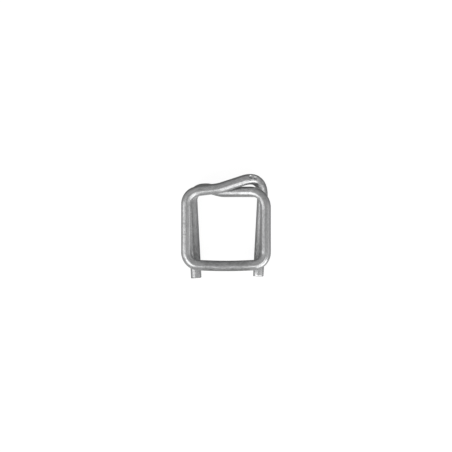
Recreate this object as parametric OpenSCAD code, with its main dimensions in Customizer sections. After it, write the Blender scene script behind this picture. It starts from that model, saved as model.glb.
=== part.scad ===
// Strapping buckle bent from one length of round wire.
// The wire starts at the free end of the left prong, crosses over to the right leg of the frame,
// runs round the closed end, climbs the left leg, humps over its own crossing and ends in the right prong.
// It lies on its prongs: +Z goes from the prongs up to the frame, and +Y from the closed end to the crossing.

/* [Wire] */
// Diameter of the round wire
wire_d = 2.8; // [2.2:0.1:3.4]
// Edge broken on the two sheared ends
end_break = 0.2; // [0.05:0.05:0.5]

/* [Strap] */
// Width of the strap that the buckle takes
strap_w = 16; // [12:0.5:25]
// Spare length of the opening beside the strap
strap_play = 0.95; // [0.3:0.05:3]
// Space between the frame and the prongs for the looped strap
strap_gap = 2.8; // [2.4:0.1:5]

/* [Frame] */
// Outer width of the frame across its two legs
frame_w = 23.9; // [21:0.1:36]
// Centreline radius of the two corners at the closed end
corner_r = 3.3; // [2:0.1:5]
// Centreline radius of the slight outward bow of the closed bar
bow_r = 130; // [40:1:400]
// Centreline radius of the right leg's top corner
right_top_r = 4.2; // [2.5:0.1:6]
// Centreline radius of the turn at the left leg's top
left_turn_r = 3.2; // [2.2:0.1:3.4]
// How far that turn's corner point lies below the lower crossing bar
left_turn_drop = 1.3; // [1:0.05:1.8]
// How far the shoulder beside that turn sits inside the left leg
left_shoulder_inset = 2.55; // [2.2:0.05:3]
// How far the shoulder stands above the lower crossing bar
left_shoulder_rise = 0.2; // [0:0.05:0.4]

/* [Prongs] */
// Lean of the prongs towards each other, in degrees
prong_lean = 3; // [0:0.25:6]
// How far the left prong's top sits inside the left leg
left_prong_inset = 1.35; // [0.5:0.05:2.5]
// How far the right prong's top sits inside the right leg
right_prong_inset = 0.65; // [0:0.05:1.5]
// How far the left prong reaches past the closed bar
left_prong_reach = 1.9; // [0.5:0.05:8]
// How far the right prong reaches past the closed bar
right_prong_reach = 1.45; // [0.5:0.05:8]
// Centreline radius of the bend at the left prong's top
left_prong_r = 3.1; // [2.2:0.1:3.6]
// Centreline radius of the bend at the right prong's top
right_prong_r = 4; // [2.2:0.1:4.5]

/* [Lower crossing bar] */
// How far the bar starts above its level stretch, at the left prong
lower_start_rise = 0.65; // [0:0.05:1]
// Height of the step down to the level stretch
step_h = 0.95; // [0.2:0.05:1.2]
// Length of the step along the bar
step_run = 3.4; // [2.6:0.1:4.5]
// How far the step ends past the foot of the hump's slope
step_lead = 0.7; // [0:0.1:1.5]
// Centreline radius of the step's two bends
step_r = 6.5; // [3:0.1:8]

/* [Hump] */
// Clear height of the hump over the lower bar, at its bend
hump_clear = 1; // [0.7:0.05:3]
// How far the bend of the hump sits inside the right leg
hump_inset = 3.6; // [3:0.1:5]
// How far the bend of the hump sits behind the frame
hump_dip = 0.4; // [0:0.05:1]
// Centreline radius of the hump
hump_r = 3.6; // [2.2:0.1:4]
// Length of the slope that climbs to the hump
slope_run = 8.9; // [7:0.1:10]
// How far the foot of the slope stands above the lower bar
slope_foot_rise = 0.9; // [0.6:0.05:1.2]
// Centreline radius of the bend at the foot of the slope
slope_foot_r = 8; // [3:0.1:12]
// How far the top of the right prong stands above the lower bar
hump_end_rise = 1.65; // [1:0.05:2.5]

/* [Tool marks] */
// Depth of the mark that the forming finger leaves on the hump
mark_depth = 0.22; // [0.05:0.01:0.3]
// Radius of the forming finger
mark_r = 3.4; // [1:0.1:5]
// Place of the mark round the hump's bend, in degrees from the slope
mark_along = 34; // [10:1:50]
// Tilt of the mark from the frame's face towards the crossing end, in degrees
mark_tilt = 85; // [0:1:110]
// Radius of the pin that the right top corner was bent round
pin_r = 1.8; // [1.2:0.1:2.2]
// Depth of the mark that the pin leaves inside that corner
pin_depth = 0.4; // [0.1:0.05:0.5]

/* [Hidden] */
$fn = 48;

wire_r = wire_d / 2;
plane_step = wire_d + strap_gap;
prong_z = wire_r;
frame_z = prong_z + plane_step;
leg_x = (frame_w - wire_d) / 2;

// Heights from the middle of the closed bar
lower_bar_h = wire_d + strap_w + strap_play;
left_tip_h = -wire_r - left_prong_reach;
right_tip_h = -wire_r - right_prong_reach;
left_prong_top_h = lower_bar_h + lower_start_rise;
right_prong_top_h = lower_bar_h + hump_end_rise;

// The bow meets each closed-end corner where their tangents agree
bow_half = asin((leg_x - corner_r) / (bow_r - corner_r));
bow_vertex_h = bow_r * (1 - 1 / cos(bow_half));
corner_h = bow_vertex_h + leg_x * tan(bow_half);

left_prong_x = left_prong_inset - leg_x;
right_prong_x = leg_x - right_prong_inset;
left_tip_x = left_prong_x + (left_prong_top_h - left_tip_h) * tan(prong_lean);
right_tip_x = right_prong_x - (right_prong_top_h - right_tip_h) * tan(prong_lean);
hump_x = leg_x - hump_inset;
slope_foot_x = hump_x - slope_run;
step_end_x = slope_foot_x + step_lead;
step_start_x = step_end_x - step_run;

// The shoulder's bend starts where the left leg's turn ends, on the short slant between them
shoulder_x = left_shoulder_inset - leg_x;
slant_rise = left_turn_drop + left_shoulder_rise;
slant = atan2(slant_rise, left_shoulder_inset);
foot_slant = atan2(slope_foot_rise - left_shoulder_rise, slope_foot_x - shoulder_x);
slant_left = norm([left_shoulder_inset, slant_rise]) - left_turn_r * tan((90 - slant) / 2);
left_shoulder_r = slant_left / tan((slant - foot_slant) / 2);

// The lower bar climbs evenly from the plane of the prongs to the plane of the frame
function lower_bar_z(x) = prong_z + plane_step * (x - left_prong_x) / (leg_x - left_prong_x);

// Corner points of the wire's centreline, each with its bend radius
PINCHED = 4;
HUMP = 11;
corners = [
    [[left_tip_x, left_tip_h, prong_z], 0],
    [[left_prong_x, left_prong_top_h, prong_z], left_prong_r],
    [[step_start_x, lower_bar_h + step_h, lower_bar_z(step_start_x)], step_r],
    [[step_end_x, lower_bar_h, lower_bar_z(step_end_x)], step_r],
    [[leg_x, lower_bar_h, frame_z], right_top_r],
    [[leg_x, corner_h, frame_z], corner_r],
    [[0, bow_vertex_h, frame_z], bow_r],
    [[-leg_x, corner_h, frame_z], corner_r],
    [[-leg_x, lower_bar_h - left_turn_drop, frame_z], left_turn_r],
    [[shoulder_x, lower_bar_h + left_shoulder_rise, frame_z], left_shoulder_r],
    [[slope_foot_x, lower_bar_h + slope_foot_rise, frame_z], slope_foot_r],
    [[hump_x, lower_bar_h + wire_d + hump_clear, frame_z - hump_dip], hump_r],
    [[right_prong_x, right_prong_top_h, prong_z], right_prong_r],
    [[right_tip_x, right_tip_h, prong_z], 0]
];
last_run = len(corners) - 2;
// A run shorter than this is left out: two bends meet there
shortest_run = 0.001;

// Figures that a value is written with
figures = 6;
// Angles tried on each side of a turn, and the step between them in degrees
turn_tries = 40;
turn_try_step = 0.0001;

function unit(v) = v / norm(v);
function point(i) = corners[i][0];
function radius(i) = corners[i][1];
// Direction of the straight run that starts at a corner
function heading(i) = unit(point(i + 1) - point(i));
// A value rounded to the figures that it is written with
function rounded(v) = v == 0
    ? 0
    : let (last_place = pow(10, floor(log(abs(v))) + 1 - figures)) round(v / last_place) * last_place;
function written_turn(angle) = [rounded(cos(angle)), rounded(sin(angle))];
function written_angle(angle) = atan2(written_turn(angle)[1], written_turn(angle)[0]);
// The angle beside a wanted one whose written cosine and sine make the truest unit vector
function true_turn(angle) =
    let (
        tries = [for (k = [-turn_tries : turn_tries]) angle + k * turn_try_step],
        errors = [for (t = tries) abs(norm(written_turn(t)) - 1)]
    )
    tries[search(min(errors), errors)[0]];
// Angle that the wire turns through at a corner
function sweep(i) = radius(i) == 0
    ? 0
    : rounded(atan2(norm(cross(heading(i - 1), heading(i))), heading(i - 1) * heading(i)));
// Length that a bend takes from the runs on each side of its corner
function setback(i) = radius(i) * tan(sweep(i) / 2);
function run(i) = norm(point(i + 1) - point(i)) - setback(i) - setback(i + 1);
// Direction from the start of a bend to its centre
function inward(i) = unit(heading(i) - (heading(i - 1) * heading(i)) * heading(i - 1));
// That direction carried round to the end of the bend
function carried(i) = inward(i) * cos(sweep(i)) - heading(i - 1) * sin(sweep(i));
// Turn about the wire's own axis from one bend's plane to the next
function roll(i) = i == 1
    ? 0
    : atan2(cross(carried(i - 1), inward(i)) * heading(i - 1), carried(i - 1) * inward(i));
function bend_centre(i) = point(i) - heading(i - 1) * setback(i) + inward(i) * radius(i);
// Direction out of a bend at an angle from its start
function outward(i, angle) = heading(i - 1) * sin(angle) - inward(i) * cos(angle);

// Middle of the whole length, so that the origin lies under the middle of the box
hump_top_h = bend_centre(HUMP)[1] + hump_r * norm([heading(HUMP - 1)[1], inward(HUMP)[1]]) + wire_r;
lowest_tip_h = min(left_tip_h, right_tip_h) - (wire_r - end_break) * sin(prong_lean);
middle_h = (hump_top_h + lowest_tip_h) / 2;

// Frame with its axes along three directions, at a place
module stand_at(x_axis, y_axis, z_axis, place) {
    multmatrix([for (k = [0 : 2]) [x_axis[k], y_axis[k], z_axis[k], place[k]]]) children();
}

// Straight run along +Z with a broken edge at the ends that are free
module straight(length, free_start, free_end) {
    start_cut = free_start ? end_break : 0;
    end_cut = free_end ? end_break : 0;
    rotate_extrude() polygon([
        [0, 0],
        [wire_r - start_cut, 0],
        if (free_start) [wire_r, start_cut],
        if (free_end) [wire_r, length - end_cut],
        [wire_r - end_cut, length],
        [0, length]
    ]);
}

// Bend that leaves the origin along +Z and turns towards +X
module bend(r, angle) {
    translate([r, 0, 0]) rotate([90, 0, 180])
        rotate_extrude(angle = angle) translate([r, 0]) circle(r = wire_r);
}

// Turn about an axis in a main step and the remainder that its written cosine and sine leave,
// so that each stretch of the wire meets the next exactly
module turn(angle, axis) {
    main_step = true_turn(angle);
    remainder = angle - written_angle(main_step);
    rotate(main_step * axis) rotate(remainder * axis) children();
}

// The wire from one run to its end, each stretch carried by the end of the one before it
module wire_from(i) {
    length = run(i) < shortest_run ? 0 : run(i);
    if (length > 0) straight(length, i == 0, i == last_run);
    if (i < last_run) {
        r = radius(i + 1);
        angle = sweep(i + 1);
        translate([0, 0, length]) turn(roll(i + 1), [0, 0, 1]) {
            bend(r, angle);
            translate([r, 0, 0]) turn(angle, [0, 1, 0]) translate([-r, 0, 0]) wire_from(i + 1);
        }
    }
}

// Forming finger laid across the hump, sunk in by the depth of its mark
module forming_finger() {
    out = outward(HUMP, mark_along);
    axle = cross(heading(HUMP - 1), inward(HUMP));
    along = cross(axle, out);
    face_side = axle[2] < 0 ? -axle : axle;
    lift = unit(out * sin(mark_tilt) + face_side * cos(mark_tilt));
    place = bend_centre(HUMP) + out * hump_r + lift * (wire_r - mark_depth + mark_r);
    across = cross(lift, along);
    stand_at(along, lift, -across, place) cylinder(r = mark_r, h = wire_d, center = true);
}

// Pin that the right top corner was bent round, sunk in by the depth of its mark
module bending_pin() {
    out = outward(PINCHED, sweep(PINCHED) / 2);
    axle = cross(heading(PINCHED - 1), inward(PINCHED));
    place = bend_centre(PINCHED) + out * (right_top_r - wire_r + pin_depth - pin_r);
    stand_at(out, cross(axle, out), axle, place) cylinder(r = pin_r, h = 2 * wire_d, center = true);
}

module wire_buckle() {
    color("silver") translate([0, -middle_h, 0]) difference() {
        stand_at(inward(1), cross(heading(0), inward(1)), heading(0), point(0)) wire_from(0);
        forming_finger();
        bending_pin();
    }
}

wire_buckle();
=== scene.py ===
"""A strapping buckle bent from one galvanised wire, lying on its prongs under soft studio light.

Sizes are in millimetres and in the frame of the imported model. A mesh is made in metres.
"""

import logging
import math
from dataclasses import dataclass, field
from enum import Enum
from itertools import pairwise
from typing import Any

import bmesh
import bpy
from bmesh.types import BMEdge, BMesh, BMVert
from mathutils import Matrix, Quaternion, Vector, noise
from mathutils.kdtree import KDTree


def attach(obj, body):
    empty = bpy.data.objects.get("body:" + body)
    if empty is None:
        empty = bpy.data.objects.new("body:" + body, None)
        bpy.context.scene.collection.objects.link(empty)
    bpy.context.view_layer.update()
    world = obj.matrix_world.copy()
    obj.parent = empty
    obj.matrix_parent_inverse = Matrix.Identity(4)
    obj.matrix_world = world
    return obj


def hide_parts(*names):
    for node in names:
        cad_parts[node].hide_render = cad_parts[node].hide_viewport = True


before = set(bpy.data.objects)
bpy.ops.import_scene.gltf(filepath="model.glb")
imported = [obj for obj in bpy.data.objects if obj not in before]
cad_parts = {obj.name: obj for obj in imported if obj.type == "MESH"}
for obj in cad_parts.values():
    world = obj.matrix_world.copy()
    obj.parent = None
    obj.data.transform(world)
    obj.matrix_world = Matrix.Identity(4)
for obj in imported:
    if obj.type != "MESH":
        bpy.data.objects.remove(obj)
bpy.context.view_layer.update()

LOG = logging.getLogger("strapping_buckle")
MM = 0.001
BODY = "root"
NODE = "wire_buckle"
# The mesh's layers: a brightening layer of painted highlight and real burnish, the cut steel, and a
# darkening layer of painted shade and real dull zinc
WEAR_AND_LIGHT_LAYERS = ("sheen_and_burnish", "cut", "dull_and_shade")
Colour = tuple[float, float, float, float]
Span = tuple[float, float]


def grey(level: float, cool: float = 0.0) -> Colour:
    """Gives a grey colour, with its red lowered and its blue raised by cool."""
    return (level - cool, level, level + cool, 1.0)


def smooth(value: float) -> float:
    """Eases a value that runs from 0 to 1, and holds it there outside that range."""
    held = min(max(value, 0.0), 1.0)
    return held * held * (3.0 - 2.0 * held)


def rise(value: float, span: Span) -> float:
    """Eases from 0 where a value is at the start of a span to 1 where it is at the end."""
    return smooth((value - span[0]) / (span[1] - span[0]))


def lookup(places: list[Vector]) -> KDTree:
    """Makes a search tree of places.

    Args:
        places: The places, in metres.

    Returns:
        The tree, which finds each by its number in the list.
    """
    tree = KDTree(len(places))
    for number, place in enumerate(places):
        tree.insert(place, number)
    tree.balance()
    return tree


def facing(direction: Vector, place: Vector) -> Matrix:
    """Gives the frame, in metres, whose Z axis points along a direction at a place in millimetres."""
    turn = direction.to_track_quat("Z", "Y").to_matrix().to_4x4()
    return Matrix.Translation(place * MM) @ turn


class Shade:
    """A socket of a node tree that can be used in sums."""

    def __init__(self, recipe: "Recipe", socket: bpy.types.NodeSocket) -> None:
        """Holds the socket and the recipe that it belongs to."""
        self.recipe = recipe
        self.socket = socket

    def _sum(self, operation: str, first: Any, second: Any) -> "Shade":
        """Adds a Math node for one operation on two values."""
        return self.recipe.node("ShaderNodeMath", {"operation": operation}, {0: first, 1: second})

    def __add__(self, other: Any) -> "Shade":
        """Adds a value to this one."""
        return self._sum("ADD", self, other)

    def __radd__(self, other: Any) -> "Shade":
        """Adds this value to another."""
        return self._sum("ADD", other, self)

    def __sub__(self, other: Any) -> "Shade":
        """Takes a value from this one."""
        return self._sum("SUBTRACT", self, other)

    def __rsub__(self, other: Any) -> "Shade":
        """Takes this value from another."""
        return self._sum("SUBTRACT", other, self)

    def __mul__(self, other: Any) -> "Shade":
        """Multiplies this value by another."""
        return self._sum("MULTIPLY", self, other)

    def __rmul__(self, other: Any) -> "Shade":
        """Multiplies another value by this one."""
        return self._sum("MULTIPLY", other, self)


class Recipe:
    """The node tree of one material or of the world."""

    def __init__(self, tree: bpy.types.NodeTree) -> None:
        """Empties the tree and holds it."""
        self.tree = tree
        self.tree.nodes.clear()

    def node(
        self,
        kind: str,
        settings: dict[str, Any] | None = None,
        inputs: dict[str | int, Any] | None = None,
        output: str | int = 0,
    ) -> Shade:
        """Adds one node.

        Args:
            kind: The node's type.
            settings: Its own settings, set first. "stops" gives a ramp's places and values.
            inputs: A value or a Shade for each socket, by name or by number.
            output: The socket that is handed on.

        Returns:
            The output socket, ready for sums, or the first input of a node that has no output.
        """
        made = self.tree.nodes.new(kind)
        for name, value in (settings or {}).items():
            if name == "stops":
                self._set_stops(made.color_ramp, value)
            else:
                setattr(made, name, value)
        for name, value in (inputs or {}).items():
            if isinstance(value, Shade):
                self.tree.links.new(value.socket, made.inputs[name])
            else:
                made.inputs[name].default_value = value
        outputs = made.outputs
        return Shade(self, outputs[output]) if len(outputs) else Shade(self, made.inputs[0])

    @staticmethod
    def _set_stops(ramp: bpy.types.ColorRamp, stops: list[tuple[float, float]]) -> None:
        """Gives a ramp its stops.

        Args:
            ramp: The ramp.
            stops: A place and a grey level for each stop, in rising order of place.
        """
        while len(ramp.elements) < len(stops):
            ramp.elements.new(1.0)
        for element, (place, level) in zip(ramp.elements, stops):
            element.position = place
            element.color = grey(level)

    def attribute(self, name: str, output: str) -> Shade:
        """Reads one of the attributes that the mesh carries."""
        return self.node("ShaderNodeAttribute", {"attribute_name": name}, {}, output)

    def noise(self, place: Shade, pattern: "Pattern") -> Shade:
        """Adds a noise over stretched coordinates.

        Args:
            place: The coordinates, with the wire's length on the last axis.
            pattern: The noise's sizes.

        Returns:
            A value from 0 to 1.
        """
        stretch = (pattern.across, pattern.across, pattern.along)
        drawn_out = self.node("ShaderNodeMapping", {}, {"Vector": place, "Scale": stretch})
        sizes = {"Vector": drawn_out, "Scale": pattern.scale, "Detail": pattern.detail}
        return self.node("ShaderNodeTexNoise", {}, sizes, "Fac")

    def ramp(self, value: Shade, span: Span) -> Shade:
        """Reshapes a value: 0 where it is at the start of a span and 1 where it is at the end."""
        stops = sorted([(span[0], 0.0), (span[1], 1.0)])
        return self.node("ShaderNodeValToRGB", {"stops": stops}, {"Fac": value})

    def mix(self, amount: Shade, first: Any, second: Any) -> Shade:
        """Mixes two colours by an amount."""
        return self.node(
            "ShaderNodeMix", {"data_type": "RGBA"}, {"Factor": amount, 6: first, 7: second}, 2
        )


@dataclass(frozen=True)
class Pattern:
    """A noise on the drawn wire.

    It has a scale in features a millimetre, octaves of finer detail, a factor along the wire and one
    across it, the noise values where the pattern begins to show and where it shows in full, and a share
    of the bump.
    """

    scale: float
    detail: float
    along: float
    shows: Span
    relief: float = 0.0
    across: float = 1.0


@dataclass(frozen=True)
class GalvanisedZinc:
    """Zinc on drawn steel wire: mid grey, streaked along its length, mottled, scuffed by tools, and drawn
    darker or brighter by painted shade and painted highlight.
    """

    name: str = "galvanised_zinc"
    bright: Colour = grey(0.86, 0.004)
    pale: Colour = grey(0.73, 0.004)
    dull: Colour = grey(0.53, 0.004)
    # Dark colour of real stains and specks, also mixed in as painted shade
    stain_and_shade: Colour = grey(0.20, 0.002)
    bare_steel: Colour = grey(0.52)
    torn_steel: Colour = grey(0.30)
    streaks: Pattern = Pattern(7.0, 2.0, 0.06, (0.48, 0.32), relief=0.5)
    mottle: Pattern = Pattern(2.4, 3.0, 0.6, (0.30, 0.70), relief=0.5)
    grain: Pattern = Pattern(8.0, 2.0, 0.7, (0.35, 0.62), relief=0.35)
    specks: Pattern = Pattern(5.0, 1.0, 0.8, (0.66, 0.74), relief=-0.4)
    scuffs: Pattern = Pattern(2.2, 2.0, 3.0, (0.62, 0.72), relief=-0.25, across=0.35)
    patches: Pattern = Pattern(2.6, 3.0, 0.5, (0.40, 0.60))
    speck_stain: float = 0.42
    streak_stain: float = 0.30
    sheen_and_burnish_mix: float = 0.8
    least_patch: float = 0.75
    patch_contrast: float = 0.5
    roughness: float = 0.27
    mottle_roughness: float = 0.06
    streak_roughness: float = 0.05
    sheen_and_burnish_roughness: float = -0.06
    dull_and_shade_roughness: float = 0.30
    scuff_roughness: float = 0.08
    cut_roughness: float = 0.12
    bump_depth: float = 0.0012 * MM
    bump_strength: float = 0.8

    def material(self) -> bpy.types.Material:
        """Makes the finish.

        Returns:
            A material that reads the attributes of the wire's mesh: drawn, the brightening layer, cut and
            the darkening layer. The brightening and darkening layers carry painted highlight and painted
            shade as well as real wear.
        """
        made = bpy.data.materials.new(self.name)
        made.use_nodes = True
        recipe = Recipe(made.node_tree)
        drawn = recipe.attribute("drawn", "Vector")
        sheen_and_burnish, cut, dull_and_shade = (recipe.attribute(name, "Fac") for name in WEAR_AND_LIGHT_LAYERS)

        streaks = recipe.noise(drawn, self.streaks)
        mottle = recipe.noise(drawn, self.mottle)
        grain = recipe.noise(drawn, self.grain)
        specks = recipe.ramp(recipe.noise(drawn, self.specks), self.specks.shows)
        scuffs = recipe.ramp(recipe.noise(drawn, self.scuffs), self.scuffs.shows)
        patches = recipe.ramp(recipe.noise(drawn, self.patches), self.patches.shows)
        bloom = recipe.ramp(mottle, self.mottle.shows)
        drawn_lines = recipe.ramp(streaks, self.streaks.shows)

        zinc = recipe.mix(bloom, self.dull, self.pale)
        zinc = recipe.mix(specks * self.speck_stain, zinc, self.stain_and_shade)
        zinc = recipe.mix(drawn_lines * self.streak_stain, zinc, self.stain_and_shade)
        # Painted highlight, partly real tool burnish: this bright mix lights the hump's bend, the left
        # leg's inner side, the right tip and the grooves
        zinc = recipe.mix(sheen_and_burnish * self.sheen_and_burnish_mix, zinc, self.bright)
        # Painted shade, partly real dull zinc and scuffs: this dark mix darkens the prongs, lower bar,
        # right leg, hump arm, crevices and groove walls, and the closed bar
        zinc = recipe.mix(dull_and_shade * (self.least_patch + self.patch_contrast * patches), zinc, self.stain_and_shade)
        steel = recipe.mix(recipe.ramp(grain, self.grain.shows), self.torn_steel, self.bare_steel)
        colour = recipe.mix(cut, zinc, steel)

        roughness = (
            self.roughness
            + (1.0 - bloom) * self.mottle_roughness
            + (streaks - 0.5) * self.streak_roughness
            + sheen_and_burnish * self.sheen_and_burnish_roughness
            + dull_and_shade * self.dull_and_shade_roughness
            + scuffs * self.scuff_roughness
            + cut * self.cut_roughness
        )
        height = (
            streaks * self.streaks.relief
            + grain * self.grain.relief
            + mottle * self.mottle.relief
            + specks * self.specks.relief
            + scuffs * self.scuffs.relief
        )
        normal = recipe.node(
            "ShaderNodeBump",
            {},
            {"Strength": self.bump_strength, "Distance": self.bump_depth, "Height": height},
        )
        shader = recipe.node(
            "ShaderNodeBsdfPrincipled",
            {},
            {"Base Color": colour, "Metallic": 1.0, "Roughness": roughness, "Normal": normal},
        )
        recipe.node("ShaderNodeOutputMaterial", {}, {"Surface": shader})
        return made


@dataclass(frozen=True)
class PaleFloor:
    """A table top that looks white by its own glow, so that a shadow on it stays faint."""

    name: str = "pale_floor"
    colour: Colour = grey(0.2)
    roughness: float = 0.9
    glow: float = 0.9

    def material(self) -> bpy.types.Material:
        """Makes the floor's finish.

        Returns:
            A plain material that glows.
        """
        made = bpy.data.materials.new(self.name)
        made.use_nodes = True
        recipe = Recipe(made.node_tree)
        shader = recipe.node(
            "ShaderNodeBsdfPrincipled",
            {},
            {
                "Base Color": self.colour,
                "Roughness": self.roughness,
                "Emission Color": grey(1.0),
                "Emission Strength": self.glow,
            },
        )
        recipe.node("ShaderNodeOutputMaterial", {}, {"Surface": shader})
        return made


@dataclass(frozen=True)
class Corner:
    """A corner of the wire's centreline and the radius that it is bent to."""

    point: Vector
    radius: float


@dataclass(frozen=True)
class Run:
    """A straight stretch of the wire."""

    start: Vector
    heading: Vector
    length: float

    def carry(self, bm: BMesh, ring: list[BMEdge], share: float) -> list[Any]:
        """Draws a ring on by a share of the run and returns what the spin leaves at its end."""
        step = self.heading * (self.length * share * MM)
        return bmesh.ops.spin(bm, geom=ring, axis=(0, 0, 1), dvec=step, angle=0.0, steps=1)["geom_last"]


@dataclass(frozen=True)
class Bend:
    """An even bend of the wire."""

    start: Vector
    heading: Vector
    inward: Vector
    radius: float
    angle: float

    @property
    def length(self) -> float:
        """Length of the bend along its centreline."""
        return self.radius * self.angle

    @property
    def centre(self) -> Vector:
        """Centre that the wire is bent round."""
        return self.start + self.inward * self.radius

    @property
    def axle(self) -> Vector:
        """Axis that the wire is bent round."""
        return self.heading.cross(self.inward)

    def outward(self, angle: float) -> Vector:
        """Gives the direction away from the centre at an angle round the bend."""
        return self.heading * math.sin(angle) - self.inward * math.cos(angle)

    def carry(self, bm: BMesh, ring: list[BMEdge], share: float) -> list[Any]:
        """Draws a ring on by a share of the bend and returns what the spin leaves at its end."""
        return bmesh.ops.spin(
            bm, geom=ring, cent=self.centre * MM, axis=self.axle, angle=self.angle * share, steps=1
        )["geom_last"]


@dataclass(frozen=True)
class WireRoute:
    """The route of the wire, with the sizes of the part's source."""

    wire_d: float = 2.8
    strap_w: float = 16.0
    strap_play: float = 0.95
    strap_gap: float = 2.8
    frame_w: float = 23.9
    corner_r: float = 3.3
    bow_r: float = 130.0
    right_top_r: float = 4.2
    left_turn_r: float = 3.2
    left_turn_drop: float = 1.3
    left_shoulder_inset: float = 2.55
    left_shoulder_rise: float = 0.2
    prong_lean: float = math.radians(3.0)
    left_prong_inset: float = 1.35
    right_prong_inset: float = 0.65
    left_prong_reach: float = 1.9
    right_prong_reach: float = 1.45
    left_prong_r: float = 3.1
    right_prong_r: float = 4.0
    lower_start_rise: float = 0.65
    step_h: float = 0.95
    step_run: float = 3.4
    step_lead: float = 0.7
    step_r: float = 6.5
    hump_clear: float = 1.0
    hump_inset: float = 3.6
    hump_dip: float = 0.4
    hump_r: float = 3.6
    slope_run: float = 8.9
    slope_foot_rise: float = 0.9
    slope_foot_r: float = 8.0
    hump_end_rise: float = 1.65
    middle_h: float = 10.5781

    @property
    def wire_r(self) -> float:
        """Radius of the wire."""
        return self.wire_d / 2

    def corners(self) -> list[Corner]:
        """Works out the corner points of the centreline.

        Returns:
            The corners from the left prong's tip to the right prong's, with the origin under the middle.
        """
        wire_r = self.wire_r
        leg_x = (self.frame_w - self.wire_d) / 2
        plane_step = self.wire_d + self.strap_gap
        frame_z = wire_r + plane_step
        bar_h = self.wire_d + self.strap_w + self.strap_play
        bow_half = math.asin((leg_x - self.corner_r) / (self.bow_r - self.corner_r))
        bow_h = self.bow_r * (1 - 1 / math.cos(bow_half))
        corner_h = bow_h + leg_x * math.tan(bow_half)
        left_top_h = bar_h + self.lower_start_rise
        right_top_h = bar_h + self.hump_end_rise
        left_tip_h = -wire_r - self.left_prong_reach
        right_tip_h = -wire_r - self.right_prong_reach
        left_x = self.left_prong_inset - leg_x
        right_x = leg_x - self.right_prong_inset
        lean = math.tan(self.prong_lean)
        hump_x = leg_x - self.hump_inset
        foot_x = hump_x - self.slope_run
        step_end_x = foot_x + self.step_lead
        step_start_x = step_end_x - self.step_run
        shoulder_x = self.left_shoulder_inset - leg_x
        slant_rise = self.left_shoulder_rise + self.left_turn_drop
        slant = math.atan2(slant_rise, self.left_shoulder_inset)
        foot_slant = math.atan2(self.slope_foot_rise - self.left_shoulder_rise, foot_x - shoulder_x)
        slant_left = math.hypot(slant_rise, self.left_shoulder_inset)
        slant_left -= self.left_turn_r * math.tan((math.pi / 2 - slant) / 2)
        shoulder_r = slant_left / math.tan((slant - foot_slant) / 2)

        def climb(x: float) -> float:
            """Height of the lower crossing bar over the floor."""
            return wire_r + plane_step * (x - left_x) / (leg_x - left_x)

        hump_h = bar_h + self.wire_d + self.hump_clear
        rows = [
            (left_x + (left_top_h - left_tip_h) * lean, left_tip_h, wire_r, 0.0),
            (left_x, left_top_h, wire_r, self.left_prong_r),
            (step_start_x, bar_h + self.step_h, climb(step_start_x), self.step_r),
            (step_end_x, bar_h, climb(step_end_x), self.step_r),
            (leg_x, bar_h, frame_z, self.right_top_r),
            (leg_x, corner_h, frame_z, self.corner_r),
            (0.0, bow_h, frame_z, self.bow_r),
            (-leg_x, corner_h, frame_z, self.corner_r),
            (-leg_x, bar_h - self.left_turn_drop, frame_z, self.left_turn_r),
            (shoulder_x, bar_h + self.left_shoulder_rise, frame_z, shoulder_r),
            (foot_x, bar_h + self.slope_foot_rise, frame_z, self.slope_foot_r),
            (hump_x, hump_h, frame_z - self.hump_dip, self.hump_r),
            (right_x, right_top_h, wire_r, self.right_prong_r),
            (right_x - (right_top_h - right_tip_h) * lean, right_tip_h, wire_r, 0.0),
        ]
        return [Corner(Vector((x, h - self.middle_h, z)), radius) for x, h, z, radius in rows]

    def stretches(self) -> list[Run | Bend]:
        """Splits the route into straight runs and bends.

        Returns:
            Each run and bend, from the left prong's tip to the right prong's.
        """
        shortest_run = 0.001
        corners = self.corners()
        headings = [(b.point - a.point).normalized() for a, b in pairwise(corners)]
        place = corners[0].point
        made: list[Run | Bend] = []
        for corner, heading, turned in zip(corners[1:], headings, [*headings[1:], headings[-1]]):
            angle = heading.angle(turned, 0.0) if corner.radius else 0.0
            setback = corner.radius * math.tan(angle / 2)
            end = corner.point - heading * setback
            if (end - place).length > shortest_run:
                made.append(Run(place, heading, (end - place).length))
            if corner.radius:
                inward = (turned - heading * heading.dot(turned)).normalized()
                made.append(Bend(end, heading, inward, corner.radius, angle))
            place = corner.point + turned * setback
        return made


class Place(Enum):
    """The places in the buckle whose zinc is drawn darker or brighter in its own way."""

    PRONG = "prong"
    LOWER_BAR = "lower_bar"
    RIGHT_LEG = "right_leg"
    CLOSED_BAR = "closed_bar"
    LEFT_LEG = "left_leg"
    HUMP = "hump"
    HUMP_ARM = "hump_arm"
    OTHER = "other"


class Tip(Enum):
    """The two sheared ends of the wire, each with the side that the shear rolled over, round the wire."""

    LEFT = math.radians(200)
    RIGHT = math.radians(75)


@dataclass(frozen=True)
class Spot:
    """A spot on the wire.

    Its ring has a middle in the part's frame, a length from the nearer end of its run or bend, and a
    share of the way along it. The spot lies to the right and ahead of that by shares of the wire's radius.
    """

    middle: Vector
    from_end: float
    share: float
    right: float
    ahead: float


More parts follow.
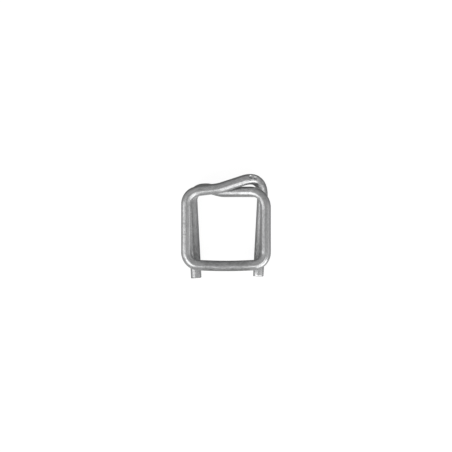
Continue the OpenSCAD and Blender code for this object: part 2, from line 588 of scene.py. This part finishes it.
@dataclass(frozen=True)
class WearAndPaintedLight:
    """Darkens or brightens the zinc, place by place. Most of it is painted shade and painted highlight; the
    closed bar is partly real dull zinc, the grooves partly real burnish, the nicks real dark scuffs, and
    the left end is drawn darker.

    A number named for a place is how dull it is drawn, from 0 to 1. A span gives where one kind of
    darkening or brightening begins and where it is full, by place in the part's frame or by share of the
    wire's radius.
    """

    ease: float = 2.5
    short_ease: float = 0.8
    # Painted shadow: the prongs drawn darker under the frame
    prong: float = 0.60
    prong_ease: float = 2.0
    upper_shade_share: float = 0.2
    upper_shade_span: Span = (8.0, 5.0)
    prong_span: Span = (4.0, -8.0)
    # Closed bar: dull zinc with painted shade, darker on its outer side
    closed_bar: float = 0.42
    closed_bar_top: float = 0.85
    closed_bar_side: float = 0.5
    closed_bar_span: Span = (0.0, -2 / 3)
    # Painted shade on the right leg's inner side
    right_leg: float = 0.26
    right_leg_span: Span = (0.8, -0.2)
    # Painted shade on the lower bar, under the slope
    lower_bar: float = 0.30
    lower_bar_start: Span = (-5.5, -1.5)
    lower_bar_end: Span = (8.0, 0.0)
    # Painted shade on the hump's descending arm
    hump_arm: float = 0.45
    hump_arm_ease: float = 1.2
    # Painted highlights on the hump's bend and the left leg's inner side
    hump_shine: Span = (0.8 / 3, 0.6)
    left_leg_shine: Span = (0.4, 0.7)
    # How much darker the left end is drawn
    left_tip: float = 0.75
    # Painted highlight on the right prong's tip
    right_tip_shine: float = 2.6
    # Painted shade in the crevice under the hump, where the wire nearly touches itself
    painted_shade: float = 0.95
    crevice_shade_start: Span = (4.6, 6.6)
    crevice_shade_end: Span = (9.6, 8.2)
    crevice: Span = (2.4, 0.9)
    crevice_shade_facing: Span = (1.5 / 3.2, 2.5 / 3.2)
    own_length: float = 6.0
    # Painted highlight with real burnish where a tool touched, and painted shade on the grooves' lower wall
    groove_shine: Span = (-0.1, 0.0)
    groove_wall: Span = (-0.24, -0.64)
    nick: float = 0.5

    def dulling(self, place: Place, spot: Spot, closed_edge: float) -> float:
        """Gives how dark the zinc is drawn: painted shade, and on the closed bar dull zinc as well.

        Args:
            place: The place in the buckle.
            spot: The spot there.
            closed_edge: The outer edge of the closed bar, past which no strap rubs the prongs.

        Returns:
            The dulling, from 0 for clean zinc.
        """
        x, y, _ = spot.middle
        match place:
            case Place.PRONG:
                # Painted shadow: the prong drawn darker down its length, under the legs and the closed bar
                prong_shade = self.upper_shade_share * rise(y, self.upper_shade_span)
                prong_shade += (1 - self.upper_shade_share) * rise(y, self.prong_span)
                return self.prong * prong_shade * smooth((y - closed_edge) / self.prong_ease)
            case Place.CLOSED_BAR:
                # Dull zinc with painted shade, darker on the bar's outer side where its highlight falls
                outer_side = rise(spot.ahead, self.closed_bar_span)
                level = self.closed_bar * (self.closed_bar_top + self.closed_bar_side * outer_side)
                return level * smooth(spot.from_end / self.ease)
            case Place.RIGHT_LEG:
                # Painted shade on the leg's inner side, which dims its highlight
                inner_side = rise(spot.right, self.right_leg_span)
                return self.right_leg * inner_side * smooth(spot.from_end / self.short_ease)
            case Place.LOWER_BAR:
                # Painted shade on the lower bar, under the slope
                return self.lower_bar * rise(x, self.lower_bar_start) * rise(x, self.lower_bar_end)
            case Place.HUMP_ARM:
                # Painted shade on the hump's descending arm
                return self.hump_arm * smooth(spot.from_end / self.hump_arm_ease)
        return 0.0

    def painted_sheen(self, place: Place, spot: Spot) -> float:
        """Gives the painted highlight drawn on the hump's bend and the left leg's inner side.

        Args:
            place: The place in the buckle.
            spot: The spot there.

        Returns:
            The brightening, from 0 to 1.
        """
        match place:
            case Place.HUMP:
                # Painted highlight on the later half of the hump's bend
                return rise(spot.share, self.hump_shine) * smooth(spot.from_end / self.short_ease)
            case Place.LEFT_LEG:
                # Painted highlight on the left leg's inner side
                return rise(spot.right, self.left_leg_shine) * smooth(spot.from_end / self.ease)
        return 0.0


@dataclass
class Ring:
    """One ring of the drawn wire."""

    verts: list[BMVert]
    edges: list[BMEdge]
    along: float
    tightness: float = 0.0
    outward: Vector | None = None

    @property
    def centre(self) -> Vector:
        """Middle of the ring."""
        return sum((v.co for v in self.verts), Vector()) / len(self.verts)


@dataclass(frozen=True)
class FormingTool:
    """A round tool pressed into the wire: a cylinder by its middle, axle, radius and half length, with the
    painted shade it leaves on one wall of its groove.
    """

    middle: Vector
    axle: Vector
    radius: float
    half_length: float
    softness: float = 0.02
    painted_shade: float = 0.0


# Axles of the tools' edges that scored the wire
HUMP_GROOVE = Vector((0.907, -0.218, -0.366)).normalized()
CORNER_GROOVE = Vector((0.520, 0.390, 0.760)).normalized()


@dataclass(frozen=True)
class Nick:
    """A small dent that handling left in the wire, at a place and along a direction in the part's frame."""

    place: tuple[float, float, float]
    along: tuple[float, float, float]
    length: float
    width: float
    depth: float


@dataclass
class BuckleWire:
    """The whole buckle: one length of wire drawn along its route, with the marks of shears and tools."""

    route: WireRoute = field(default_factory=WireRoute)
    finish: GalvanisedZinc = field(default_factory=GalvanisedZinc)
    wear_and_painted_light: WearAndPaintedLight = field(default_factory=WearAndPaintedLight)
    name: str = "bent_wire"
    sides: int = 80
    run_step: float = 0.25
    bend_step: float = 0.14
    seam: float = 0.01
    flattening: float = 0.05
    spread: float = 0.02
    flat_ease: float = 0.25
    waviness: float = 0.008
    swell_pitch: float = 0.9
    lump_pitch: float = 2.6
    lump_share: float = 0.5
    mark_depth: float = 0.22
    mark_r: float = 3.4
    mark_along: float = math.radians(34)
    mark_tilt: float = math.radians(85)
    pin_r: float = 1.8
    pin_depth: float = 0.4
    tool_reach: float = 4.0
    roll_over: float = 0.34
    burr_break: float = 0.06
    edge_steps: int = 6
    face_shares: tuple[float, ...] = (0.88, 0.76, 0.64, 0.52, 0.40, 0.28, 0.14)
    face_ease: float = 0.5
    shear_tilt: float = 0.05
    tear: float = 0.05
    tear_pitch: float = 2.2
    bared_turns: Span = (math.radians(40), math.radians(80))
    # Grooves scored by tool edges; the two on the hump carry painted shade on their lower wall
    grooves: tuple[FormingTool, ...] = (
        FormingTool(Vector((6.679, 13.304, 7.477)), HUMP_GROOVE, 0.55, 0.40, painted_shade=0.8),
        FormingTool(Vector((8.012, 12.986, 6.941)), HUMP_GROOVE, 0.55, 0.42, painted_shade=0.8),
        FormingTool(Vector((8.440, 7.100, 7.780)), CORNER_GROOVE, 0.40, 0.50, softness=0.06),
    )
    nicks: tuple[Nick, ...] = (
        Nick((-11.31, 0.75, 8.17), (0.9, 0.1, 0.45), 0.60, 0.16, 0.03),
        Nick((-11.20, -2.15, 8.24), (0.9, 0.1, 0.40), 0.60, 0.15, 0.02),
    )

    def build(self) -> bpy.types.Object:
        """Makes the wire's mesh and its object.

        Returns:
            The piece, dressed, riding on its body and standing for its CAD node.
        """
        bm = bmesh.new()
        spine = self._draw(bm)
        bmesh.ops.remove_doubles(bm, verts=bm.verts, dist=self.seam * MM)
        bmesh.ops.recalc_face_normals(bm, faces=bm.faces)
        verts = list(bm.verts)
        places = lookup([vert.co for vert in verts])
        for tool in [*self._tools(), *self.grooves]:
            found = places.find_range(tool.middle * MM, self.tool_reach * MM)
            self._press(bm, tool, [verts[number] for _, number, _ in found])
        for nick in self.nicks:
            found = places.find_range(Vector(nick.place) * MM, 2 * nick.length * MM)
            self._dent(bm, nick, [verts[number] for _, number, _ in found])
        self._paint_crevice_shade(bm, spine)
        self._ripple(bm)
        mesh = bpy.data.meshes.new(self.name)
        bm.to_mesh(mesh)
        bm.free()
        mesh.shade_smooth()
        mesh.materials.append(self.finish.material())
        piece = bpy.data.objects.new(self.name, mesh)
        bpy.context.scene.collection.objects.link(piece)
        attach(piece, BODY)
        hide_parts(NODE)
        return piece

    def _draw(self, bm: BMesh) -> list[tuple[Vector, float]]:
        """Draws every run and bend of the wire, each from the end of the last, and closes both ends.

        Args:
            bm: The empty mesh.

        Returns:
            The middle of each ring and the length of wire before it.
        """
        spine: list[tuple[Vector, float]] = []
        stretches = self.route.stretches()
        first, last = stretches[0], stretches[-1]
        margin = self.roll_over
        stretches[0] = Run(first.start + first.heading * margin, first.heading, first.length - margin)
        stretches[-1] = Run(last.start, last.heading, last.length - margin)
        stand = first.heading.to_track_quat("Z", "Y")
        along = margin
        for stretch in stretches:
            part = bmesh.new()
            part.verts.layers.float_vector.new("drawn")
            for layer in WEAR_AND_LIGHT_LAYERS:
                part.verts.layers.float.new(layer)
            rings = self._draw_stretch(part, stretch, stand, along)
            self._flatten(rings)
            self._paint_light_and_wear(part, rings, stretch)
            spine += [(ring.centre, ring.along) for ring in rings]
            if stretch is stretches[0]:
                self._close_end(part, rings[0], Tip.LEFT, -stretch.heading)
            if stretch is stretches[-1]:
                self._paint_tip_highlight(part, rings)
                self._close_end(part, rings[-1], Tip.RIGHT, stretch.heading)
            mesh = bpy.data.meshes.new("stretch")
            part.to_mesh(mesh)
            part.free()
            bm.from_mesh(mesh)
            bpy.data.meshes.remove(mesh)
            along += stretch.length
            if isinstance(stretch, Bend):
                stand = Quaternion(stretch.axle, stretch.angle) @ stand
        return spine

    def _draw_stretch(
        self, part: BMesh, stretch: Run | Bend, stand: Quaternion, along: float
    ) -> list[Ring]:
        """Carries a circle along one run or round one bend.

        Args:
            part: The empty mesh of this stretch.
            stretch: The run or bend.
            stand: The turn of the wire's own frame at its start.
            along: Length of wire before it.

        Returns:
            The rings from its start to its end.
        """
        drawn = part.verts.layers.float_vector["drawn"]
        place = Matrix.LocRotScale(stretch.start * MM, stand, None)
        bmesh.ops.create_circle(part, segments=self.sides, radius=self.route.wire_r * MM, matrix=place)
        flat = place.inverted()
        for vert in part.verts:
            x, y, _ = (flat @ vert.co) / MM
            vert[drawn] = (x, y, along)
        rings = [Ring(list(part.verts), list(part.edges), along)]
        is_bend = isinstance(stretch, Bend)
        steps = math.ceil(stretch.length / (self.bend_step if is_bend else self.run_step))
        for step in range(1, steps + 1):
            made = stretch.carry(part, rings[-1].edges, 1 / steps)
            ring = Ring(
                [v for v in made if isinstance(v, BMVert)],
                [e for e in made if isinstance(e, BMEdge)],
                along + stretch.length * step / steps,
            )
            if is_bend:
                ease = smooth(min(step, steps - step) / (self.flat_ease * steps))
                ring.tightness = ease * self.route.wire_r / stretch.radius
                ring.outward = stretch.outward(stretch.angle * step / steps)
            for vert in ring.verts:
                vert[drawn] = (*vert[drawn].xy, ring.along)
            rings.append(ring)
        return rings

    def _flatten(self, rings: list[Ring]) -> None:
        """Flattens the outside of a bend a little and spreads its sides.

        Args:
            rings: The rings of one run or bend. Those of a run have no tightness and stay round.
        """
        for ring in rings:
            if not ring.tightness:
                continue
            centre = ring.centre
            for vert in ring.verts:
                arm = vert.co - centre
                facing_out = arm.normalized().dot(ring.outward)
                flat = self.flattening * max(facing_out, 0.0) ** 2
                wide = self.spread * (1 - facing_out**2)
                vert.co = centre + arm * (1 + ring.tightness * (wide - flat))

    def _place(self, stretch: Run | Bend) -> Place:
        """Names the place in the buckle that a run or bend is in.

        Args:
            stretch: The run or bend.

        Returns:
            The place, found by a bend's radius or by a run's height and heading.
        """
        level_with, along_leg, steep = 0.01, 0.95, 0.1
        if isinstance(stretch, Bend):
            places = {
                self.route.bow_r: Place.CLOSED_BAR,
                self.route.step_r: Place.LOWER_BAR,
                self.route.hump_r: Place.HUMP,
                self.route.right_prong_r: Place.HUMP_ARM,
            }
            return places.get(stretch.radius, Place.OTHER)
        if abs(stretch.start.z - self.route.wire_r) < level_with:
            return Place.PRONG
        if abs(stretch.heading.y) > along_leg:
            return Place.RIGHT_LEG if stretch.start.x > 0 else Place.LEFT_LEG
        if stretch.heading.z > steep:
            return Place.LOWER_BAR
        return Place.HUMP_ARM if stretch.heading.z < -steep else Place.OTHER

    def _paint_light_and_wear(self, part: BMesh, rings: list[Ring], stretch: Run | Bend) -> None:
        """Darkens or brightens the zinc place by place: painted shade and painted highlight, with real dull
        zinc on the closed bar.

        Args:
            part: The mesh of this stretch.
            rings: Its rings from start to end.
            stretch: The run or bend.
        """
        dull_and_shade = part.verts.layers.float["dull_and_shade"]
        sheen_and_burnish = part.verts.layers.float["sheen_and_burnish"]
        place = self._place(stretch)
        closed_edge = -self.route.middle_h - self.route.wire_r
        start, end = rings[0].along, rings[-1].along
        for ring in rings:
            middle = ring.centre
            from_end = min(ring.along - start, end - ring.along)
            share = (ring.along - start) / (end - start)
            for vert in ring.verts:
                right, ahead, _ = (vert.co - middle) / (self.route.wire_r * MM)
                spot = Spot(middle / MM, from_end, share, right, ahead)
                vert[dull_and_shade] = self.wear_and_painted_light.dulling(place, spot, closed_edge)
                vert[sheen_and_burnish] = self.wear_and_painted_light.painted_sheen(place, spot)

    def _paint_tip_highlight(self, part: BMesh, rings: list[Ring]) -> None:
        """Paints a highlight on the right prong, brighter towards its tip.

        Args:
            part: The mesh of the prong.
            rings: Its rings, the last at the tip.
        """
        sheen_and_burnish = part.verts.layers.float["sheen_and_burnish"]
        tip = rings[-1].along
        for ring in rings:
            level = rise(ring.along, (tip - self.wear_and_painted_light.right_tip_shine, tip))
            for vert in ring.verts:
                vert[sheen_and_burnish] = level

    def _paint_crevice_shade(self, bm: BMesh, spine: list[tuple[Vector, float]]) -> None:
        """Paints shade in the crevices where the wire nearly touches itself.

        Args:
            bm: The mesh being made.
            spine: The middle of each ring and the length of wire before it.
        """
        drawn = bm.verts.layers.float_vector["drawn"]
        dull_and_shade = bm.verts.layers.float["dull_and_shade"]
        middles = lookup([middle for middle, _ in spine])
        wear_and_painted_light, wire_r = self.wear_and_painted_light, self.route.wire_r
        bm.normal_update()
        for vert in bm.verts:
            x = vert.co.x / MM
            on_hump = rise(x, wear_and_painted_light.crevice_shade_start) * rise(x, wear_and_painted_light.crevice_shade_end)
            if not on_hump:
                continue
            for middle, number, distance in middles.find_range(vert.co, (wire_r + wear_and_painted_light.crevice[0]) * MM):
                if vert[drawn].z - spine[number][1] < wear_and_painted_light.own_length:
                    continue
                closeness = rise(distance / MM - wire_r, wear_and_painted_light.crevice)
                towards = rise(vert.normal.dot((middle - vert.co).normalized()), wear_and_painted_light.crevice_shade_facing)
                vert[dull_and_shade] = max(vert[dull_and_shade], wear_and_painted_light.painted_shade * closeness * towards * on_hump)

    def _tools(self) -> list[FormingTool]:
        """Sets the two bending tools where they stopped.

        Returns:
            The finger that pressed the hump, and the pin that the right top corner was bent round.
        """
        wire_r = self.route.wire_r
        bends = {bend.radius: bend for bend in self.route.stretches() if isinstance(bend, Bend)}
        hump, pinched = bends[self.route.hump_r], bends[self.route.right_top_r]
        out = hump.outward(self.mark_along)
        face_side = hump.axle if hump.axle.z > 0 else -hump.axle
        lift = (out * math.sin(self.mark_tilt) + face_side * math.cos(self.mark_tilt)).normalized()
        across = lift.cross(hump.axle.cross(out))
        middle = hump.centre + out * hump.radius + lift * (wire_r - self.mark_depth + self.mark_r)
        pin_out = pinched.outward(pinched.angle / 2)
        pin = pinched.centre + pin_out * (pinched.radius - wire_r + self.pin_depth - self.pin_r)
        return [
            FormingTool(middle, across, self.mark_r, wire_r),
            FormingTool(pin, pinched.axle, self.pin_r, wire_r),
        ]

    def _press(self, bm: BMesh, tool: FormingTool, verts: list[BMVert]) -> None:
        """Presses a tool into the wire, drawing the pressed zinc brighter, partly real burnish and partly
        painted highlight, and painting shade on the groove's lower wall.

        Args:
            bm: The mesh being made.
            tool: The tool, where it stopped.
            verts: The vertices near it.
        """
        sheen_and_burnish = bm.verts.layers.float["sheen_and_burnish"]
        dull_and_shade = bm.verts.layers.float["dull_and_shade"]
        for vert in verts:
            arm = vert.co / MM - tool.middle
            aside = arm.dot(tool.axle)
            if abs(aside) > tool.half_length:
                continue
            level = arm - tool.axle * aside
            deep = tool.radius - level.length
            push = (deep + math.hypot(deep, tool.softness)) / 2
            vert.co += level.normalized() * (push * MM)
            # Painted highlight with real tool burnish where the tool touched; painted shade on the groove's
            # wall towards the closed bar
            touched = rise(deep, self.wear_and_painted_light.groove_shine)
            near_wall = rise(level.normalized().y, self.wear_and_painted_light.groove_wall)
            vert[sheen_and_burnish] = max(vert[sheen_and_burnish], touched)
            vert[dull_and_shade] = max(vert[dull_and_shade], tool.painted_shade * touched * near_wall)

    def _dent(self, bm: BMesh, nick: Nick, verts: list[BMVert]) -> None:
        """Dents the wire where handling has nicked it.

        Args:
            bm: The mesh being made.
            nick: The dent.
            verts: The vertices near it.
        """
        dull_and_shade = bm.verts.layers.float["dull_and_shade"]
        along = Vector(nick.along).normalized()
        for vert in verts:
            arm = vert.co / MM - Vector(nick.place)
            down = arm.dot(along)
            aside = (arm - along * down).length
            weight = math.exp(-((down / nick.length) ** 4) - (aside / nick.width) ** 2)
            vert.co -= vert.normal * (nick.depth * weight * MM)
            vert[dull_and_shade] = max(vert[dull_and_shade], self.wear_and_painted_light.nick * weight)

    def _close_end(self, part: BMesh, ring: Ring, tip: Tip, outward: Vector) -> None:
        """Closes one sheared end: rolled over on one side, sharp on the other, with a torn face.

        Args:
            part: The mesh of the end's run.
            ring: The last ring at this end.
            tip: Which end it is.
            outward: The direction out of the end.
        """
        drawn = part.verts.layers.float_vector["drawn"]
        cut = part.verts.layers.float["cut"]
        dull_and_shade = part.verts.layers.float["dull_and_shade"]
        wire_r, margin = self.route.wire_r, self.roll_over
        centre = ring.centre
        rolled_way = Vector((math.cos(tip.value), math.sin(tip.value)))
        edge_turns = [math.pi / 2 * step / self.edge_steps for step in range(1, self.edge_steps + 1)]
        edge = [(turn, 1.0) for turn in edge_turns]
        face = [(edge_turns[-1], share) for share in self.face_shares]
        edges = ring.edges
        for turn, share in edge + face:
            made = bmesh.ops.extrude_edge_only(part, edges=edges)["geom"]
            verts = {v for v in made if isinstance(v, BMVert)}
            edges = [e for e in made if isinstance(e, BMEdge) and set(e.verts) <= verts]
            for vert in verts:
                side = vert[drawn].xy.normalized()
                tip_side = side.dot(rolled_way)
                rolled = 0.5 + 0.5 * tip_side
                edge_r = self.burr_break + (margin - self.burr_break) * rolled**2
                reach = (wire_r - edge_r * (1 - math.cos(turn))) * share
                ahead = margin - edge_r * (1 - math.sin(turn))
                torn = noise.noise(Vector((*(side * reach * self.tear_pitch), tip.value))) - 0.5
                inside = rise(reach, (wire_r, wire_r - self.face_ease))
                ahead += (self.tear * torn - self.shear_tilt * reach * tip_side) * inside
                level = vert.co - centre
                level -= outward * level.dot(outward)
                vert.co = centre + level.normalized() * (reach * MM) + outward * (ahead * MM)
                vert[drawn] = (*(side * reach), ring.along + ahead)
                vert[cut] = rise(turn, self.bared_turns)
                # Draws the left end darker all over; the right end stays clean
                vert[dull_and_shade] = self.wear_and_painted_light.left_tip if tip is Tip.LEFT else 0.0
        cap = bmesh.ops.edgeloop_fill(part, edges=edges)["faces"]
        bmesh.ops.poke(part, faces=cap)

    def _ripple(self, bm: BMesh) -> None:
        """Gives the drawn surface the slight waviness of a hot-dipped wire.

        Args:
            bm: The mesh being made.
        """
        drawn = bm.verts.layers.float_vector["drawn"]
        cut = bm.verts.layers.float["cut"]
        bm.normal_update()
        for vert in bm.verts:
            x, y, along = vert[drawn]
            drawn_out = Vector((x, y, along / 2))
            swell = noise.noise(drawn_out * self.swell_pitch)
            lumps = noise.noise(drawn_out * self.lump_pitch)
            lift = self.waviness * (swell + self.lump_share * lumps) * (1 - vert[cut])
            vert.co += vert.normal * (lift * MM)


@dataclass(frozen=True)
class Softbox:
    """A rectangular studio light that looks at the buckle, placed round it by two angles in degrees."""

    name: str
    azimuth: float
    from_zenith: float
    width: float
    height: float
    radiance: float
    distance: float = 400.0

    def build(self, target: Vector) -> bpy.types.Object:
        """Hangs the light and turns it to the target.

        Args:
            target: The point that it looks at, in millimetres.

        Returns:
            The light, which the camera itself doesn't see.
        """
        a, z = math.radians(self.azimuth), math.radians(self.from_zenith)
        away = Vector((math.sin(z) * math.cos(a), math.sin(z) * math.sin(a), math.cos(z)))
        lamp = bpy.data.lights.new(self.name, "AREA")
        lamp.shape = "RECTANGLE"
        lamp.size = self.width * MM
        lamp.size_y = self.height * MM
        lamp.energy = self.radiance * math.pi * lamp.size * lamp.size_y
        made = bpy.data.objects.new(self.name, lamp)
        made.matrix_world = facing(away, target + away * self.distance)
        made.visible_camera = False
        bpy.context.scene.collection.objects.link(made)
        return made


@dataclass
class Studio:
    """The floor, the lights, the world and the camera."""

    frame_width: float = 120.533
    focal: float = 400.0
    sensor: float = 36.0
    target: Vector = field(default_factory=lambda: Vector((0.0, 0.0, 6.0)))
    floor_side: float = 6000.0
    floor_drop: float = 0.02
    frame_shift: float = 0.06
    surround: float = 0.40
    surround_dark: float = 0.16
    table_glow: float = 0.10
    under_span: Span = (0.35, 0.85)
    clip: Span = (100.0, 10000.0)
    softboxes: tuple[Softbox, ...] = (
        Softbox("high_left_softbox", 212, 35, 260, 150, 1.0),
        Softbox("left_softbox", 187, 66, 190, 280, 0.86),
        Softbox("near_left_softbox", 229, 48, 230, 300, 1.35),
        Softbox("high_right_softbox", 305, 33, 240, 150, 1.45),
        Softbox("right_softbox", 357, 66, 200, 280, 0.25),
        Softbox("low_right_softbox", 316, 76, 220, 280, 1.8),
        Softbox("near_right_softbox", 294, 68, 140, 290, 0.95),
        Softbox("far_left_softbox", 140, 40, 220, 200, 0.15),
    )

    def build(self) -> None:
        """Sets up the whole stage."""
        self._lay_floor()
        self._wrap_world()
        self._place_camera()
        for softbox in self.softboxes:
            softbox.build(self.target)
        bpy.context.scene.view_settings.view_transform = "Standard"

    def _lay_floor(self) -> None:
        """Lays the table top just under the prongs."""
        bm = bmesh.new()
        under = Matrix.Translation((0.0, 0.0, -self.floor_drop * MM))
        bmesh.ops.create_grid(bm, size=self.floor_side * MM / 2, matrix=under)
        mesh = bpy.data.meshes.new("floor")
        bm.to_mesh(mesh)
        bm.free()
        mesh.materials.append(PaleFloor().material())
        floor = bpy.data.objects.new("floor", mesh)
        floor.visible_glossy = False
        bpy.context.scene.collection.objects.link(floor)

    def _wrap_world(self) -> None:
        """Wraps the buckle in a soft grey surround.

        It is darker low past the crossing end, and lighter low before the closed end, as a table makes it.
        """
        world = bpy.data.worlds.new("surround")
        world.use_nodes = True
        bpy.context.scene.world = world
        recipe = Recipe(world.node_tree)
        past_crossing = self._light_from(recipe, Vector((0, 1, -1)), (self.surround, self.surround_dark))
        before_bar = self._light_from(recipe, Vector((0, -1, -1)), (0.0, self.table_glow))
        seen = recipe.node("ShaderNodeLightPath", {}, {}, "Is Camera Ray")
        strength = seen + (1.0 - seen) * (past_crossing + before_bar)
        light = recipe.node("ShaderNodeBackground", {}, {"Color": grey(1.0), "Strength": strength})
        recipe.node("ShaderNodeOutputWorld", {}, {"Surface": light})

    def _light_from(self, recipe: Recipe, direction: Vector, levels: Span) -> Shade:
        """Gives light that changes towards one direction.

        Args:
            recipe: The world's nodes.
            direction: The direction.
            levels: The light elsewhere, and the light from there.

        Returns:
            The strength of the light.
        """
        way = recipe.node("ShaderNodeTexCoord", {}, {}, "Generated")
        sides = {0: way, 1: direction.normalized()}
        towards = recipe.node("ShaderNodeVectorMath", {"operation": "DOT_PRODUCT"}, sides, "Value")
        change = {
            "Value": towards,
            "From Min": self.under_span[0],
            "From Max": self.under_span[1],
            "To Min": levels[0],
            "To Max": levels[1],
        }
        return recipe.node("ShaderNodeMapRange", {"interpolation_type": "SMOOTHSTEP"}, change)

    def _place_camera(self) -> None:
        """Hangs the camera over the buckle, looking straight down, with the crossing end at the top."""
        lens = bpy.data.cameras.new("camera")
        lens.lens = self.focal
        lens.sensor_width = self.sensor
        height = self.frame_width * self.focal / self.sensor
        lens.clip_start, lens.clip_end = (reach * MM for reach in self.clip)
        camera = bpy.data.objects.new("camera", lens)
        camera.location = (0.0, self.frame_shift * MM, (height + self.target.z) * MM)
        bpy.context.scene.collection.objects.link(camera)
        bpy.context.scene.camera = camera


def main() -> None:
    """Builds the buckle and its stage in order, and reports each."""
    logging.basicConfig(level=logging.INFO, format="%(name)s: %(message)s")
    piece = BuckleWire().build()
    LOG.info("%s: %d faces", piece.name, len(piece.data.polygons))
    Studio().build()
    LOG.info("stage: floor, lights and camera")


if __name__ == "__main__":
    main()
